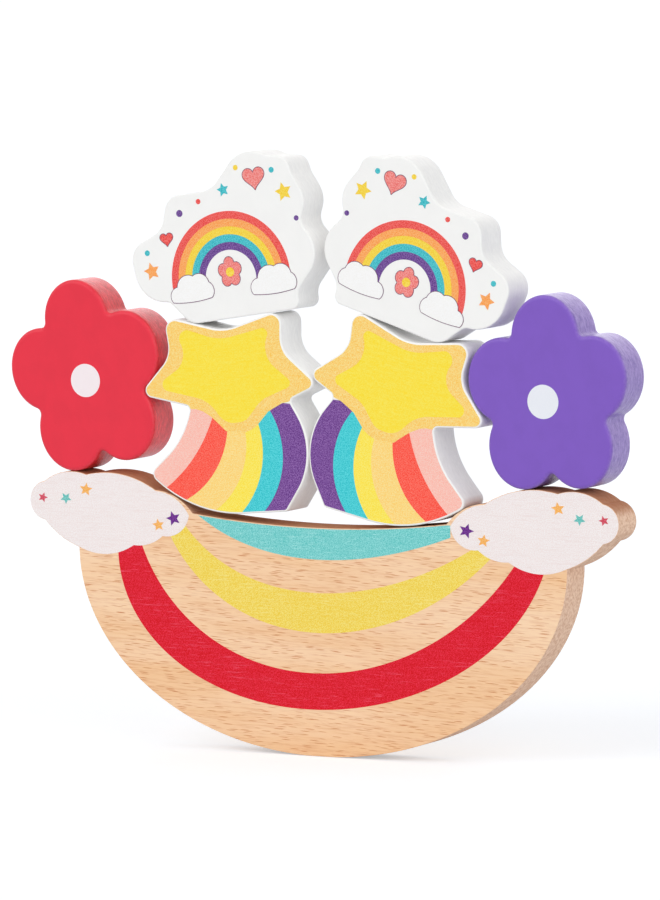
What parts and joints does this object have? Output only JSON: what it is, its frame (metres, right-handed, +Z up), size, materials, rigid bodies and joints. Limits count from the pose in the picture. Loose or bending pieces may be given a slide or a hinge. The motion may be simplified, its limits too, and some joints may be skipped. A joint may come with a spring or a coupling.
{
  "type": "balance stacking toy",
  "caption": "Wooden balance stacking toy: a rocking base with a curved underside and cloud-shaped ends carries loose flat blocks cut as flowers, shooting stars and picture shapes.",
  "frame": {"origin": "middle of the small flat at the bottom of the rocking base", "axes": "+Z up, +X to the right of someone who looks at the printed fronts, -Y out of the printed fronts towards them"},
  "size_m": [0.3123, 0.02, 0.2723],
  "materials": {
    "beech": "sanded bare beech",
    "red_paint": "satin red paint on wood",
    "purple_paint": "satin purple paint on wood",
    "white_paint": "satin white paint on wood"
  },
  "bodies": {
    "base": {"rainbow_base": "beech"},
    "left_star": {"left_star": "white_paint"},
    "right_star": {"right_star": "white_paint"},
    "red_flower": {"red_flower": "red_paint"},
    "purple_flower": {"purple_flower": "purple_paint"},
    "left_picture": {"left_picture": "white_paint"},
    "right_picture": {"right_picture": "white_paint"}
  },
  "joints": [
    {"name": "left_star_lift", "type": "slide", "parent": "base", "child": "left_star", "axis": [-0.2079, 0, 0.9781], "range_m": [0, 0.03]},
    {"name": "right_star_lift", "type": "slide", "parent": "base", "child": "right_star", "axis": [0.2079, 0, 0.9781], "range_m": [0, 0.03]},
    {"name": "red_flower_lift", "type": "slide", "parent": "left_star", "child": "red_flower", "axis": [-0.866, 0, 0.5], "range_m": [0, 0.06]},
    {"name": "purple_flower_lift", "type": "slide", "parent": "right_star", "child": "purple_flower", "axis": [0.866, 0, 0.5], "range_m": [0, 0.06]},
    {"name": "left_picture_lift", "type": "slide", "parent": "left_star", "child": "left_picture", "axis": [0, 0, 1], "range_m": [0, 0.05]},
    {"name": "right_picture_lift", "type": "slide", "parent": "right_star", "child": "right_picture", "axis": [0, 0, 1], "range_m": [0, 0.05]}
  ]
}
